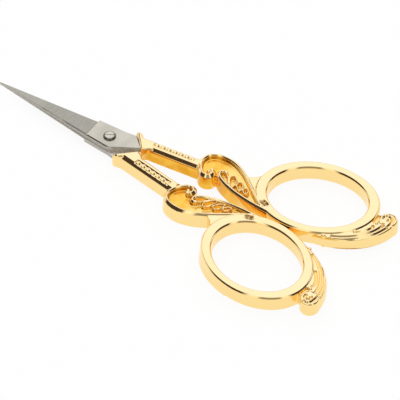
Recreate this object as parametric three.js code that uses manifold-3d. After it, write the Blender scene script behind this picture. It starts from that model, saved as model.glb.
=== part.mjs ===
// Craft scissors with scrolled, gold-plated cast handles, lying closed. Millimetres, +Z up.
// X runs from the blade tips to the finger rings, and the upper half's handle is on the +Y side.
import * as THREE from 'three';
import { mergeVertices } from 'three/addons/utils/BufferGeometryUtils.js';
import Module from 'manifold-3d';

const wasm = await Module();
wasm.setup();

// Blades. Lengths are measured from the pivot and heights from the line through pivot and tips.
const tipReach = 36.7;
const heelReach = 5.6;
const heelSlant = 0.5;
const edgeHeight = 3.5;
const edgeFlare = 0.8;
const backHeight = 3.1;
const backCornerReach = 2.4;
const backCornerRadius = 1.4;
const backSwell = 0.4;
const shoulderOuter = 0.4;
const shoulderInner = 0.8;
const bladeThickness = 1.3;
const edgeThickness = 0.14;
const tipThickness = 0.3;
const bladeGap = 0.14;
const shoulderGap = 0.08;

// Tangs, which lie along the shanks inside the castings.
const tangLength = 11;
const tangWidth = 1.7;
const tangThickness = 0.8;
const tangClearance = 0.3;

// Pivot screw.
const screwDiameter = 2.2;
const screwHeadDiameter = 3.4;
const screwHeadHeight = 0.5;
const screwSlotWidth = 0.5;
const screwSlotDepth = 0.25;
const screwRunningClearance = 0.1;
const screwThreadClearance = 0.1;
const screwHeadGap = 0.06;

// Handle castings. Shank, rims and ring are level, so the pair lies flat on them.
const handleThickness = 4.6;
const closedGap = 0.34;

// Collar and shank. The shank's axis rises from above the pivot at a slope.
const shankRise = 2.05;
const shankSlope = THREE.MathUtils.degToRad(7.6);
const shankReach = 24.6;
const shankWidth = 3.9;
const shankChamfer = 0.85;
const collarReach = 7.4;
const collarSlant = THREE.MathUtils.degToRad(-40);
const collarSpan = 6.3;
const collarDepth = 1.3;
const collarEdge = 0.45;

// Bead row on both faces of the shank, level with its rims.
const beadCount = 7;
const beadDiameter = 1.3;
const beadPitch = 1.75;
const panelWidth = 1.6;
const panelDepth = 0.35;

// Scroll: a raised rim that starts in a volute, and a second rim along the inner side.
const rimWidth = 0.9;
const rimEdge = 0.2;
const rimFlare = 0.4;
const scrollFloorDepth = 1;
const voluteOuterRadius = 1.9;
const voluteEyeRadius = 0.95;
const voluteTurn = THREE.MathUtils.degToRad(215);
const voluteStart = THREE.MathUtils.degToRad(70);
const voluteAhead = 4.1;
const voluteDrop = 0.95;
const crestAhead = 5.4;
const crestRise = 5.9;
const backBulge = 1.4;
const hookAhead = 7.5;
const hookRise = 0.6;
const hookRadius = 0.95;
const hookStart = THREE.MathUtils.degToRad(55);
const hookTurn = THREE.MathUtils.degToRad(140);
const scrollTailLead = 9.6;
const rimTailAngle = THREE.MathUtils.degToRad(242);
const petalCount = 4;
const petalLength = 2.3;
const petalShrink = 0.86;
const petalStart = 0.17;
const petalPitch = 0.068;
const petalLean = THREE.MathUtils.degToRad(38);

// Finger ring: an ellipse tilted away from the other ring, its bow centre a set reach from the pivot.
const ringReach = 56.8;
const ringHoleLength = 26.5;
const ringHoleWidth = 20.6;
const ringEndBand = 3.2;
const ringSideBand = 2.45;
const ringTilt = THREE.MathUtils.degToRad(15.1);
const ringEdge = 0.6;
const ringEdgeHeight = 1;
const webDrop = 0.35;
const webRootStart = THREE.MathUtils.degToRad(169);
const webRootEnd = THREE.MathUtils.degToRad(225);

// Tail leaf behind the ring: it grows out of the ring and ends in a round boss.
const leafDrop = 0.35;
const leafEdge = 0.6;
const leafEdgeHeight = 1.2;
const leafReach = 3.1;
const leafBossRadius = 2.6;
const leafBossDrop = 1.15;
const leafRootStart = THREE.MathUtils.degToRad(2);
const leafRootEnd = THREE.MathUtils.degToRad(-72);
const leafBossTurn = THREE.MathUtils.degToRad(145);
const leafRibWidth = 0.75;
const leafCurlRadius = 0.75;
const leafInnerInset = 2.1;

const gold = new THREE.MeshStandardMaterial({ color: 0xf3c566, roughness: 0.14, metalness: 1 });
const steel = new THREE.MeshStandardMaterial({ color: 0xbab7ae, roughness: 0.32, metalness: 1 });

// Solids and plain shapes

function toSolid(geometry) {
  const bare = geometry.clone();
  bare.deleteAttribute('normal');
  bare.deleteAttribute('uv');
  const merged = mergeVertices(bare, 1e-4);
  return new wasm.Manifold(new wasm.Mesh({
    numProp: 3,
    vertProperties: new Float32Array(merged.attributes.position.array),
    triVerts: new Uint32Array(merged.index.array),
  }));
}

function toGeometry(solid) {
  const mesh = solid.getMesh();
  const geometry = new THREE.BufferGeometry();
  geometry.setAttribute('position', new THREE.BufferAttribute(mesh.vertProperties, 3));
  geometry.setIndex(new THREE.BufferAttribute(mesh.triVerts, 1));
  geometry.computeVertexNormals();
  return geometry;
}

function join(geometries) {
  return geometries.map(toSolid).reduce((whole, piece) => whole.add(piece));
}

// A plate centred on the handle's middle plane, its edges rounded by an inset and a height.
function plate(shape, thickness, edge, edgeHeight = edge, curveSegments = 12) {
  const geometry = new THREE.ExtrudeGeometry(shape, {
    depth: thickness - 2 * edgeHeight,
    bevelEnabled: edge > 0,
    bevelThickness: edgeHeight,
    bevelSize: edge,
    bevelOffset: -edge,
    bevelSegments: 2,
    curveSegments,
  });
  return geometry.translate(0, 0, edgeHeight - thickness / 2);
}

// A wall's section: chamfered along its upper edges, flaring to a square foot. A section's x points
// down once it follows a level path.
function wallSection(width, chamfer, flare) {
  const w = width / 2;
  const h = handleThickness / 2;
  return new THREE.Shape([
    new THREE.Vector2(-h, chamfer - w),
    new THREE.Vector2(-h, w - chamfer),
    new THREE.Vector2(chamfer - h, w),
    new THREE.Vector2(h, w + flare),
    new THREE.Vector2(h, -w - flare),
    new THREE.Vector2(chamfer - h, -w),
  ]);
}

function pathThrough(points) {
  const level = points.map((p) => new THREE.Vector3(p.x, p.y, 0));
  return new THREE.CatmullRomCurve3(level, false, 'centripetal');
}

// A wall of full handle height that follows a plan curve, with a round post at each end.
function rimAlong(points, width, flare, steps) {
  const wall = new THREE.ExtrudeGeometry(wallSection(width, rimEdge, flare), {
    steps,
    extrudePath: pathThrough(points),
    bevelEnabled: false,
  });
  const ends = [points[0], points[points.length - 1]];
  return [wall, ...ends.map((end) => post(end, width / 2))];
}

function post(place, radius) {
  const half = handleThickness / 2;
  const profile = [
    new THREE.Vector2(0, -half),
    new THREE.Vector2(radius - rimEdge, -half),
    new THREE.Vector2(radius, rimEdge - half),
    new THREE.Vector2(radius, half - rimEdge),
    new THREE.Vector2(radius - rimEdge, half),
    new THREE.Vector2(0, half),
  ];
  return new THREE.LatheGeometry(profile, 10).rotateX(Math.PI / 2).translate(place.x, place.y, 0);
}

// Rounded bumps standing on both faces, at the given height from the middle plane.
function bumps(place, height, radii, turn) {
  return [height, -height].map((z) => new THREE.SphereGeometry(1, 8, 6)
    .rotateX(Math.PI / 2)
    .scale(radii.x, radii.y, radii.z)
    .rotateZ(turn)
    .translate(place.x, place.y, z));
}

function bezierPoints(start, startControl, endControl, end, count) {
  return new THREE.CubicBezierCurve(start, startControl, endControl, end).getPoints(count);
}

function spiralPoints(centre, startAngle, turn, startRadius, endRadius, count) {
  return Array.from({ length: count + 1 }, (_, i) => {
    const share = i / count;
    const angle = startAngle + turn * share;
    const radius = startRadius + (endRadius - startRadius) * share;
    return new THREE.Vector2(centre.x + radius * Math.cos(angle), centre.y + radius * Math.sin(angle));
  });
}

// Places that the pieces share

const shankAxis = (x) => new THREE.Vector2(x, shankRise + x * Math.tan(shankSlope));
const collarCentre = shankAxis(collarReach);
const collarAlong = new THREE.Vector2(Math.cos(collarSlant), Math.sin(collarSlant));
const collarBack = new THREE.Vector2(-collarAlong.y, collarAlong.x);
const collarPoint = (along, back) => collarCentre.clone()
  .addScaledVector(collarAlong, along)
  .addScaledVector(collarBack, back);

const scrollStart = shankAxis(shankReach);
const fromScroll = (x, y) => new THREE.Vector2(scrollStart.x + x, scrollStart.y + y);

const holeHalfLength = ringHoleLength / 2;
const holeHalfWidth = ringHoleWidth / 2;
const ringHalfLength = holeHalfLength + ringEndBand;
const ringHalfWidth = holeHalfWidth + ringSideBand;
const ringSideReach = Math.hypot(
  ringHalfLength * Math.sin(ringTilt),
  ringHalfWidth * Math.cos(ringTilt),
);
const ringCentre = new THREE.Vector2(ringReach, closedGap / 2 + ringSideReach);
const fromRing = (x, y) => new THREE.Vector2(x, y)
  .rotateAround(new THREE.Vector2(), ringTilt)
  .add(ringCentre);
const bandPoint = (angle) => new THREE.Vector2(
  (holeHalfLength + ringEndBand / 2) * Math.cos(angle),
  (holeHalfWidth + ringSideBand / 2) * Math.sin(angle),
);
const bandPoints = (start, end, steps) => Array.from(
  { length: steps + 1 },
  (_, i) => bandPoint(THREE.MathUtils.lerp(start, end, i / steps)),
);
const placeInRing = (geometry) => geometry.rotateZ(ringTilt).translate(ringCentre.x, ringCentre.y, 0);

// Blade: a tapered wedge with a flat ricasso round the pivot and a thin tang.

function bladeShape() {
  const front = -shoulderGap;
  const collarTop = collarPoint(-shankWidth / 2 - shoulderOuter, front);
  const collarFoot = collarPoint(shankWidth / 2 + shoulderInner, front);
  const shape = new THREE.Shape();
  const middle = -tipReach * 0.55;
  const ricassoBack = -backHeight - backSwell;
  shape.moveTo(-tipReach, 0);
  shape.quadraticCurveTo(middle, -backHeight * 0.6, -heelReach, -backHeight);
  shape.lineTo(backCornerReach - backCornerRadius, ricassoBack);
  const cornerEnd = new THREE.Vector2(backCornerReach, ricassoBack)
    .addScaledVector(new THREE.Vector2(0.8, 0.64), backCornerRadius);
  shape.quadraticCurveTo(backCornerReach, ricassoBack, cornerEnd.x, cornerEnd.y);
  shape.lineTo(collarFoot.x, collarFoot.y);
  shape.lineTo(collarTop.x, collarTop.y);
  shape.lineTo(backCornerReach, edgeHeight + edgeFlare * 0.6);
  shape.lineTo(-heelReach, edgeHeight);
  shape.quadraticCurveTo(middle, edgeHeight * 0.54, -tipReach, 0);
  return shape;
}

// The ground face is a plane through the tip, the cutting edge's heel and the back's heel.
function grindWaste() {
  const tip = new THREE.Vector3(-tipReach, 0, tipThickness);
  const edgeHeel = new THREE.Vector3(-heelReach, edgeHeight, edgeThickness);
  const backHeel = new THREE.Vector3(-heelReach, -backHeight, bladeThickness);
  const plane = new THREE.Plane().setFromCoplanarPoints(tip, backHeel, edgeHeel);
  const slopeX = -plane.normal.x / plane.normal.z;
  const slopeY = -plane.normal.y / plane.normal.z;
  const level = -plane.constant / plane.normal.z;
  const outline = new THREE.Shape([
    new THREE.Vector2(-tipReach - bladeThickness, -2 * backHeight),
    new THREE.Vector2(heelSlant - heelReach, -2 * backHeight),
    new THREE.Vector2(-heelSlant - heelReach, 2 * edgeHeight),
    new THREE.Vector2(-tipReach - bladeThickness, 2 * edgeHeight),
  ]);
  const waste = new THREE.ExtrudeGeometry(outline, { depth: 3 * bladeThickness, bevelEnabled: false });
  const lean = new THREE.Matrix4().set(1, 0, 0, 0, 0, 1, 0, 0, slopeX, slopeY, 1, level, 0, 0, 0, 1);
  return waste.applyMatrix4(lean);
}

// A bar along the shank's axis, from inside the ricasso to a depth past the collar's front.
function tangBar(clearance) {
  const start = collarReach - collarSpan / 2;
  const length = collarReach + tangLength + clearance - start;
  const bar = new THREE.BoxGeometry(length, tangWidth + 2 * clearance, tangThickness + 2 * clearance);
  const middle = shankAxis(start + length / 2);
  return bar.rotateZ(shankSlope).translate(middle.x, middle.y, (bladeThickness + bladeGap) / 2);
}

function blade(holeDiameter) {
  const stock = new THREE.ExtrudeGeometry(bladeShape(), {
    depth: bladeThickness,
    bevelEnabled: false,
    curveSegments: 10,
  });
  const holeRadius = holeDiameter / 2;
  const hole = new THREE.CylinderGeometry(holeRadius, holeRadius, 4 * bladeThickness, 32)
    .rotateX(Math.PI / 2);
  const ground = toSolid(stock).subtract(toSolid(grindWaste())).translate(0, 0, bladeGap / 2);
  return ground.add(toSolid(tangBar(0))).subtract(toSolid(hole));
}

// Handle casting

function collar() {
  const half = collarSpan / 2;
  const shape = new THREE.Shape([
    collarPoint(-half, 0),
    collarPoint(half, 0),
    collarPoint(half - collarDepth, collarDepth),
    collarPoint(collarDepth / 2 - half, collarDepth),
  ]);
  return plate(shape, handleThickness, collarEdge);
}

// The bar starts ahead of the collar and is trimmed on the collar's slanted front.
function shank() {
  const start = shankAxis(collarReach - collarSpan / 2);
  const path = new THREE.LineCurve3(
    new THREE.Vector3(start.x, start.y, 0),
    new THREE.Vector3(scrollStart.x, scrollStart.y, 0),
  );
  const section = wallSection(shankWidth, shankChamfer, 0);
  const bar = new THREE.ExtrudeGeometry(section, { steps: 1, extrudePath: path, bevelEnabled: false });
  const ahead = new THREE.Shape([
    collarPoint(-collarSpan, collarDepth / 2),
    collarPoint(-collarSpan, -collarSpan),
    collarPoint(collarSpan, -collarSpan),
    collarPoint(collarSpan, collarDepth / 2),
  ]);
  return toSolid(bar).subtract(toSolid(plate(ahead, 2 * handleThickness, 0))).subtract(shankPanels());
}

const lastBead = shankReach - beadPitch;
const firstBead = lastBead - (beadCount - 1) * beadPitch;

function shankBeads() {
  const radius = beadDiameter / 2;
  const seat = handleThickness / 2 - radius;
  return Array.from({ length: beadCount }, (_, i) => shankAxis(firstBead + i * beadPitch))
    .flatMap((place) => bumps(place, seat, new THREE.Vector3(radius, radius, radius), 0));
}

// The beads stand in a shallow panel, pointed toward the collar, on each face.
function shankPanels() {
  const half = panelWidth / 2;
  const start = shankAxis(firstBead);
  const length = (lastBead - firstBead) / Math.cos(shankSlope);
  const shape = new THREE.Shape([
    new THREE.Vector2(-beadPitch, 0),
    new THREE.Vector2(-beadPitch + half, -half),
    new THREE.Vector2(length + half, -half),
    new THREE.Vector2(length + half, half),
    new THREE.Vector2(-beadPitch + half, half),
  ]);
  const depth = 2 * panelDepth;
  const cut = (z) => plate(shape, depth, 0).rotateZ(shankSlope).translate(start.x, start.y, z);
  return join([cut(handleThickness / 2), cut(-handleThickness / 2)]);
}

const voluteCentre = fromScroll(voluteAhead, -voluteDrop);
const scrollTop = fromScroll(crestAhead, crestRise);
const axisSide = (closedGap + rimWidth) / 2 + rimFlare;
const scrollTail = new THREE.Vector2(ringCentre.x - scrollTailLead, axisSide + rimWidth * 1.2);
const rimTailEnd = fromRing(bandPoint(rimTailAngle).x, bandPoint(rimTailAngle).y);

const volute = spiralPoints(voluteCentre, voluteStart, -voluteTurn, voluteEyeRadius, voluteOuterRadius, 9);
const voluteExit = volute[volute.length - 1];
const rimBack = bezierPoints(
  voluteExit,
  fromScroll(-backBulge, crestRise * 0.2),
  fromScroll(-backBulge * 0.36, crestRise),
  scrollTop,
  8,
);
const rimSweep = bezierPoints(
  scrollTop,
  new THREE.Vector2(THREE.MathUtils.lerp(scrollTop.x, scrollTail.x, 0.36), scrollTop.y * 1.02),
  new THREE.Vector2(THREE.MathUtils.lerp(scrollTop.x, scrollTail.x, 0.66), scrollTop.y * 0.46),
  scrollTail,
  12,
);
const hookCentre = fromScroll(hookAhead, hookRise);
const innerHook = spiralPoints(hookCentre, hookStart, hookTurn, hookRadius, hookRadius, 5);
const hookExit = innerHook[innerHook.length - 1];
const innerSweep = bezierPoints(
  hookExit,
  new THREE.Vector2(hookExit.x - hookRadius * 0.3, hookExit.y - hookRadius * 1.5),
  new THREE.Vector2(THREE.MathUtils.lerp(hookExit.x, rimTailEnd.x, 0.3), axisSide * 0.6),
  rimTailEnd,
  10,
);

function scrollRims() {
  const outerRim = [...volute, ...rimBack.slice(1), ...rimSweep.slice(1)];
  const innerRim = [...innerHook, ...innerSweep.slice(1)];
  return [
    ...rimAlong(outerRim, rimWidth, rimFlare, 44),
    ...rimAlong(innerRim, rimWidth, rimFlare, 20),
  ];
}

// The sunken floor fills the outline that the two rims enclose.
function scrollFloor() {
  const lowerVolute = volute.slice(3);
  const outline = [
    ...rimBack,
    ...rimSweep.slice(1),
    ...innerSweep.slice().reverse(),
    ...lowerVolute.slice(0, -1),
  ];
  return plate(new THREE.Shape(outline), handleThickness - 2 * scrollFloorDepth, 0);
}

// Overlapping petals shrink toward the scroll's tail, each leaning back on the inner rim.
function scrollPetals() {
  const seat = handleThickness / 2 - scrollFloorDepth;
  const pieces = [];
  let length = petalLength;
  let share = petalStart;
  for (let i = 0; i < petalCount; i += 1) {
    const place = hookCentre.clone().lerp(scrollTail, share);
    const radii = new THREE.Vector3(length * 0.34, length * 0.62, scrollFloorDepth * 0.8);
    pieces.push(...bumps(place, seat, radii, petalLean));
    share += length * petalPitch;
    length *= petalShrink;
  }
  return pieces;
}

function ring() {
  const shape = new THREE.Shape();
  shape.absellipse(0, 0, ringHalfLength, ringHalfWidth, 0, 2 * Math.PI);
  const hole = new THREE.Path();
  hole.absellipse(0, 0, holeHalfLength, holeHalfWidth, 0, 2 * Math.PI);
  shape.holes.push(hole);
  return placeInRing(plate(shape, handleThickness, ringEdge, ringEdgeHeight, 22));
}

// The web fills the corner between the scroll's outer rim and the front of the ring.
function web() {
  const front = bandPoints(webRootStart, webRootEnd, 4).map((point) => fromRing(point.x, point.y));
  const shape = new THREE.Shape([...rimSweep.slice(5), rimTailEnd, ...front.reverse()]);
  return plate(shape, handleThickness - 2 * webDrop, 0);
}

const leafBoss = new THREE.Vector2(ringHalfLength + leafReach, -leafBossDrop);
const leafTip = new THREE.Vector2(leafBoss.x + leafBossRadius, leafBoss.y);
const leafOuterEdge = (inset) => bezierPoints(
  new THREE.Vector2(0.17 * ringHalfLength, inset - 0.985 * ringHalfWidth),
  new THREE.Vector2(0.625 * ringHalfLength, inset - 1.05 * ringHalfWidth),
  new THREE.Vector2(leafTip.x - 0.1 * ringHalfLength - inset, -0.755 * ringHalfWidth),
  new THREE.Vector2(leafTip.x - inset, leafTip.y),
  9,
);

function leafBody() {
  const shape = new THREE.Shape(leafOuterEdge(0));
  shape.absarc(leafBoss.x, leafBoss.y, leafBossRadius, 0, leafBossTurn, false);
  for (const point of bandPoints(leafRootStart, leafRootEnd, 6)) shape.lineTo(point.x, point.y);
  return placeInRing(plate(shape, handleThickness - 2 * leafDrop, leafEdge, leafEdgeHeight, 8));
}

// Two ribs flute the leaf. The outer one winds into the boss and the inner one ends in a curl.
function leafRibs() {
  const inset = (leafEdge + leafRibWidth) / 2;
  const coilTurn = THREE.MathUtils.degToRad(300);
  const coil = spiralPoints(leafBoss, 0, coilTurn, leafBossRadius - inset, leafRibWidth, 9);
  const outer = [...leafOuterEdge(inset), ...coil.slice(1)];
  const curlCentre = new THREE.Vector2(ringHalfLength + 1.5 * leafCurlRadius, -0.34 * ringHalfWidth);
  const curlStart = THREE.MathUtils.degToRad(-70);
  const curlTurn = THREE.MathUtils.degToRad(160);
  const curl = spiralPoints(curlCentre, curlStart, curlTurn, leafCurlRadius, leafCurlRadius * 0.8, 4);
  const inner = [...leafOuterEdge(leafInnerInset).slice(4, 6), ...curl];
  return [
    ...rimAlong(outer, leafRibWidth, 0, 24),
    ...rimAlong(inner, leafRibWidth, 0, 9),
  ].map(placeInRing);
}

function handle() {
  const pieces = [
    collar(),
    ...shankBeads(),
    scrollFloor(),
    ...scrollRims(),
    ...scrollPetals(),
    web(),
    ring(),
    leafBody(),
    ...leafRibs(),
  ];
  return join(pieces).add(shank());
}

// Screw: a button head with a slot, standing on the upper blade, and a plain shank through both blades.

function screw() {
  const seat = bladeGap / 2 + bladeThickness + screwHeadGap;
  const foot = -bladeGap / 2 - bladeThickness;
  const radius = screwDiameter / 2;
  const headRadius = screwHeadDiameter / 2;
  const dome = new THREE.Path();
  dome.moveTo(0, foot);
  dome.lineTo(radius, foot);
  dome.lineTo(radius, seat);
  dome.lineTo(headRadius, seat);
  dome.lineTo(headRadius, seat + screwHeadHeight * 0.35);
  dome.quadraticCurveTo(headRadius * 0.9, seat + screwHeadHeight, headRadius * 0.35, seat + screwHeadHeight);
  dome.lineTo(0, seat + screwHeadHeight);
  const body = new THREE.LatheGeometry(dome.getPoints(5), 32).rotateX(Math.PI / 2);
  const slot = new THREE.BoxGeometry(2 * screwHeadDiameter, screwSlotWidth, 2 * screwSlotDepth)
    .rotateZ(Math.PI / 5)
    .translate(0, 0, seat + screwHeadHeight);
  return toSolid(body).subtract(toSolid(slot));
}

function named(name, solid, material) {
  const mesh = new THREE.Mesh(toGeometry(solid), material);
  mesh.name = name;
  return mesh;
}

// The two castings mirror each other, and each is bored for its own blade's tang.
const casting = handle();
const tangBore = toSolid(tangBar(tangClearance));
const upperHalf = new THREE.Group();
upperHalf.add(named('blade_upper', blade(screwDiameter + 2 * screwRunningClearance), steel));
upperHalf.add(named('handle_upper', casting.subtract(tangBore), gold));

const lowerHalf = new THREE.Group();
lowerHalf.add(named('blade_lower', blade(screwDiameter + 2 * screwThreadClearance), steel));
lowerHalf.add(named('handle_lower', casting.mirror([0, 0, 1]).subtract(tangBore), gold));
lowerHalf.rotation.x = Math.PI;

// The pair stands with the middle of its length at the origin and its lowest faces on Z = 0.
const scissors = new THREE.Group();
scissors.add(upperHalf, lowerHalf, named('pivot_screw', screw(), steel));
const extent = new THREE.Box3().setFromObject(scissors);
scissors.position.set(-(extent.min.x + extent.max.x) / 2, 0, -extent.min.z);

export default scissors;
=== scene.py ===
import math

import bpy
import numpy as np
from mathutils import Matrix, Vector


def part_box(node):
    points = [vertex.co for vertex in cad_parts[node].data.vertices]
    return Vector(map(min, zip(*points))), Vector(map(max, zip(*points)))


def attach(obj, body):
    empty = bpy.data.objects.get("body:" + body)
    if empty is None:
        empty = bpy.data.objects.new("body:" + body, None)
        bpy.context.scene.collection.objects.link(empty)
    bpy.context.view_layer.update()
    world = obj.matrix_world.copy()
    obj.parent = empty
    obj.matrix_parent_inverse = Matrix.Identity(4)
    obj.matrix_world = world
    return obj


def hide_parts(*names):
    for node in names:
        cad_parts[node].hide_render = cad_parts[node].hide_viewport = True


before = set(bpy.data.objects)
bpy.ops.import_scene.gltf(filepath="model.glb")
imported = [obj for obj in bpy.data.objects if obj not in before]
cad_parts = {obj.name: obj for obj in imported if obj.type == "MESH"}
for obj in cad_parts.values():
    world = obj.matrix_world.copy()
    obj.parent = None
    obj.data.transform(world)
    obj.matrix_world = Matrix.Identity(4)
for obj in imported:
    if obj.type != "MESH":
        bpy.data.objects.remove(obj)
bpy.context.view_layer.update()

# pieces are modelled in millimetres around the pivot, then brought to the frame's metres
screwLow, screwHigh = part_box("pivot_screw")
handleLow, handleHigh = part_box("handle_upper")
pivotPlace = Vector(((screwLow.x + screwHigh.x) / 2, 0, (handleLow.z + handleHigh.z) / 2))
mm = 0.001
toFrame = Matrix.Translation(pivotPlace) @ Matrix.Scale(mm, 4)
print("frame loaded, pivot at", [round(v, 5) for v in pivotPlace])


# plan curves as lists of points

def lerp(a, b, t):
    return a + (b - a) * t


def heading(deg):
    angle = math.radians(deg)
    return Vector((math.cos(angle), math.sin(angle)))


# a point at x and y from a centre, on axes that are turned
def turnedSpot(centre, x, y, turnDeg):
    turn = math.radians(turnDeg)
    return Vector((centre[0] + x * math.cos(turn) - y * math.sin(turn),
                   centre[1] + x * math.sin(turn) + y * math.cos(turn)))


def bezierRun(p0, p1, p2, p3, count):
    p0, p1, p2, p3 = (Vector(p) for p in (p0, p1, p2, p3))
    run = []
    for i in range(count + 1):
        t = i / count
        s = 1 - t
        run.append(p0 * s ** 3 + p1 * (3 * s * s * t) + p2 * (3 * s * t * t) + p3 * t ** 3)
    return run


def spiralRun(centre, startDeg, turnDeg, startRadius, endRadius, count):
    run = []
    for i in range(count + 1):
        t = i / count
        angle = math.radians(startDeg + turnDeg * t)
        radius = lerp(startRadius, endRadius, t)
        run.append(Vector((centre[0] + radius * math.cos(angle), centre[1] + radius * math.sin(angle))))
    return run


def smoothRun(points, perSpan=8):
    pts = [Vector(p) for p in points]
    ends = [pts[0] * 2 - pts[1]] + pts + [pts[-1] * 2 - pts[-2]]
    run = []
    for i in range(1, len(ends) - 2):
        a, b, c, d = ends[i - 1:i + 3]
        for k in range(perSpan):
            t = k / perSpan
            run.append(0.5 * (2 * b + (c - a) * t + (2 * a - 5 * b + 4 * c - d) * t * t
                              + (3 * b - a - 3 * c + d) * t ** 3))
    return run + [pts[-1]]


def ellipseRun(centre, halfLength, halfWidth, turnDeg, count):
    run = []
    for i in range(count):
        angle = 2 * math.pi * i / count
        run.append(turnedSpot(centre, halfLength * math.cos(angle), halfWidth * math.sin(angle), turnDeg))
    return run


# modelling steps that the pieces share

weld = 0.0005


def onlySelect(piece):
    bpy.ops.object.select_all(action="DESELECT")
    piece.select_set(True)
    bpy.context.view_layer.objects.active = piece


def drawCurve(name, runs, closed):
    bpy.ops.object.select_all(action="DESELECT")
    bpy.ops.curve.primitive_bezier_curve_add(location=(0, 0, 0))
    drawn = bpy.context.object
    drawn.name = name
    drawn.data.splines.clear()
    drawn.data.dimensions = "2D"
    for run in runs:
        spline = drawn.data.splines.new("POLY")
        spline.points.add(len(run) - 1)
        for point, place in zip(spline.points, run):
            point.co = (place[0], place[1], 0, 1)
        spline.use_cyclic_u = closed
    return drawn


def meshFrom(drawn):
    onlySelect(drawn)
    bpy.ops.object.convert(target="MESH")
    bpy.ops.object.mode_set(mode="EDIT")
    bpy.ops.mesh.select_all(action="SELECT")
    bpy.ops.mesh.remove_doubles(threshold=weld)
    bpy.ops.mesh.normals_make_consistent(inside=False)
    bpy.ops.object.mode_set(mode="OBJECT")
    return drawn


# flat outline with eased rims: edge is the easing in plan, edgeDrop its height, and no steps give a chamfer
def plate(name, runs, bottom, top, edge, edgeDrop, steps=5):
    drawn = drawCurve(name, runs, True)
    stretch = edgeDrop / edge
    drawn.data.fill_mode = "BOTH"
    drawn.data.extrude = (top - bottom) / 2 / stretch - edge
    drawn.data.bevel_depth = edge
    drawn.data.bevel_resolution = steps
    drawn.data.offset = -edge
    meshFrom(drawn)
    drawn.scale.z = stretch
    drawn.location.z = (top + bottom) / 2
    bpy.ops.object.transform_apply(location=True, rotation=False, scale=True)
    return drawn


sharpEdge = 0.01


def sharpPlate(name, run, bottom, top):
    return plate(name, [run], bottom, top, sharpEdge, sharpEdge)


# section points are (side, height) round the whole wall, side positive to the right of the run
def sweep(name, run, section, closed=False, flip=False):
    side = -1 if flip else 1
    profile = drawCurve(name + "Profile", [[(side * s, h) for s, h in section]], True)
    path = drawCurve(name, [run], closed)
    path.data.bevel_mode = "OBJECT"
    path.data.bevel_object = profile
    path.data.use_fill_caps = not closed
    meshFrom(path)
    bpy.data.objects.remove(profile)
    return path


# a round bump on the upper face and the same one on the lower face
def bumps(name, place, height, radii):
    made = []
    for side in (1, -1):
        bpy.ops.mesh.primitive_uv_sphere_add(segments=24, ring_count=14, radius=1,
                                             location=(place[0], place[1], side * height))
        piece = bpy.context.object
        piece.name = name
        piece.scale = radii
        bpy.ops.object.transform_apply(location=True, rotation=True, scale=True)
        made.append(piece)
    return made


def balls(name, place, radius, top):
    return bumps(name, place, top - radius, (radius,) * 3)


def useModifier(piece, kind, **values):
    onlySelect(piece)
    modifier = piece.modifiers.new(kind, kind)
    for key, value in values.items():
        setattr(modifier, key, value)
    bpy.ops.object.modifier_apply(modifier=modifier.name)


def cutAway(pieces, cutter, solver="EXACT"):
    for piece in pieces:
        useModifier(piece, "BOOLEAN", operation="DIFFERENCE", solver=solver, object=cutter)
    bpy.data.objects.remove(cutter)


def joined(pieces):
    bpy.ops.object.select_all(action="DESELECT")
    for piece in pieces:
        piece.select_set(True)
    bpy.context.view_layer.objects.active = pieces[0]
    bpy.ops.object.join()
    return bpy.context.object


def placesOf(piece):
    places = np.empty(len(piece.data.vertices) * 3)
    piece.data.vertices.foreach_get("co", places)
    return places.reshape(-1, 3)


# into the frame's metres, kept inside the box of the CAD node
def settle(piece, node):
    onlySelect(piece)
    piece.data.transform(toFrame)
    low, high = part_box(node)
    places = np.clip(placesOf(piece), low, high)
    piece.data.vertices.foreach_set("co", places.ravel())
    piece.data.update()


# casting: the upper handle is modelled, the lower one is its mirror image

casting = {
    "foot": -2.3, "top": 2.3, "closedGap": 0.34,
    "voxel": 0.11, "smoothing": 3, "triangles": 190000,
    "clear": 4,
}
castFoot, castTop = casting["foot"], casting["top"]

shank = {
    "rise": 2.05, "slopeDeg": 7.6, "reach": 24.6, "overlap": 0.6,
    "section": [(1.95, castFoot), (1.95, 1.15), (1.8, 1.5), (1.14, 2.23), (1.04, 2.29), (0.9, castTop),
                (-0.62, castTop), (-0.75, 2.28), (-0.87, 2.2), (-1.68, 1.34), (-1.84, 1.08), (-1.92, 0.8),
                (-1.95, 0.5), (-1.95, castFoot)],
    "tang": (11.3, 2.3, 1.4), "tangHeight": 0.72,
}

slope = math.radians(shank["slopeDeg"])
shankDir = heading(shank["slopeDeg"])
shankAcross = Vector((-shankDir.y, shankDir.x))


def shankAxis(x):
    return Vector((x, shank["rise"] + x * math.tan(slope)))


collar = {
    "reach": 7.4, "slantDeg": -40, "span": 6.3, "depth": 1.3,
    "edge": 0.52, "edgeDrop": 0.44,
    "foot": [(12.3, 3.2), (12.3, 2.1), (11.1, 1.15), (9.7, 0.48)],
    "tip": [(6.2, 4.05), (5.75, 4.5), (5.42, 4.9), (5.6, 5.3), (6.2, 5.45), (6.9, 5.2), (7.6, 4.6),
            (8.3, 4.0), (10.5, 4.05)],
    "cheek": [(6.9, 4.3), (5.5, 4.6), (4.95, 4.9), (4.85, 5.25), (5.2, 5.58), (6.0, 5.6), (7.3, 5.15),
              (7.5, 4.6)],
    "cheekTop": 1.75, "cheekEdge": 0.45, "cheekDrop": 1.1,
    "cutSpan": 9,
}

shankStart = collar["reach"] - collar["span"] / 2
collarDir = heading(collar["slantDeg"])
collarBack = Vector((-collarDir.y, collarDir.x))


def collarSpot(along, back):
    return shankAxis(collar["reach"]) + collarDir * along + collarBack * back


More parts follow.
